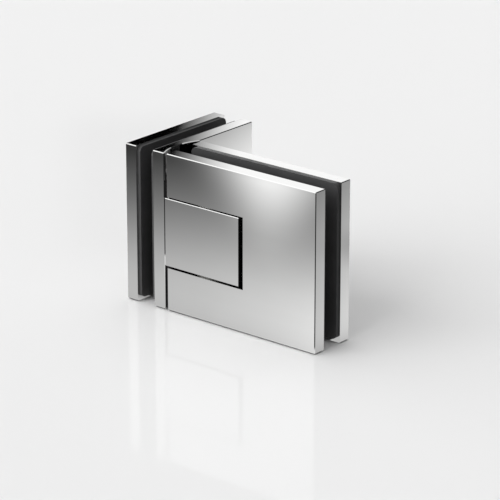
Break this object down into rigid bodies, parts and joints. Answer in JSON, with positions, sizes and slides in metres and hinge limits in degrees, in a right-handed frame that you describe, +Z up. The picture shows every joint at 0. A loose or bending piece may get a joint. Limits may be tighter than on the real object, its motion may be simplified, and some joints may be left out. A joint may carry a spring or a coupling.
{
  "type": "glass door hinge",
  "caption": "Square-edged chrome hinge that clamps a glass door at right angles to a fixed glass side panel and swings it both ways on a pivot block set in the door clamp's notch.",
  "frame": {"origin": "bottom centre of the whole hinge's bounding box, door closed", "axes": "+Z up along the pivot, +X along the door glass away from the fixed panel, +Y from the plates' common front plane to the back"},
  "size_m": [0.1324, 0.0744, 0.09],
  "materials": {
    "polished_chrome": "mirror polished chrome on brass",
    "gasket_rubber": "matt dark rubber",
    "screw_steel": "satin stainless",
    "satin_steel": "fine milled stainless",
    "hardened_steel": "ground",
    "spring_steel": "drawn wire",
    "bearing_brass": "turned",
    "bearing_plastic": "natural acetal"
  },
  "bodies": {
    "fixed_leaf": {"fixed_outer_plate": "polished_chrome", "fixed_inner_plate": "polished_chrome", "fixed_outer_gasket": "gasket_rubber", "fixed_inner_gasket": "gasket_rubber", "fixed_clamp_screws": "screw_steel", "fixed_screw_sleeves": "bearing_plastic", "pivot_block": "polished_chrome", "block_screws": "screw_steel", "upper_bush": "bearing_brass", "lower_bush": "bearing_brass", "upper_thrust_washer": "bearing_plastic", "lower_thrust_washer": "bearing_plastic", "left_detent_spring": "spring_steel", "right_detent_spring": "spring_steel", "left_spring_plug": "screw_steel", "detent_adjusting_screw": "screw_steel"},
    "door_leaf": {"door_front_plate": "polished_chrome", "door_back_plate": "polished_chrome", "door_front_gasket": "gasket_rubber", "door_back_gasket": "gasket_rubber", "spindle": "hardened_steel", "upper_spindle_holder": "satin_steel", "lower_spindle_holder": "satin_steel", "holder_screws": "screw_steel", "door_clamp_screws": "screw_steel"},
    "left_plunger": {"left_detent_plunger": "hardened_steel"},
    "right_plunger": {"right_detent_plunger": "hardened_steel"}
  },
  "joints": [
    {"name": "door_swing", "type": "hinge", "parent": "fixed_leaf", "child": "door_leaf", "pos_m": [-0.0122, -0.0226, 0.045], "axis": [0, 0, 1], "range_deg": [-90, 90]},
    {"name": "left_plunger_slide", "type": "slide", "parent": "fixed_leaf", "child": "left_plunger", "axis": [1, 0, 0], "range_m": [0, 0.00108], "stiffness_N_per_m": 4000, "springref_m": 0.006, "deforming": ["left_detent_spring"]},
    {"name": "right_plunger_slide", "type": "slide", "parent": "fixed_leaf", "child": "right_plunger", "axis": [-1, 0, 0], "range_m": [0, 0.00108], "stiffness_N_per_m": 4000, "springref_m": 0.006, "deforming": ["right_detent_spring"]}
  ]
}
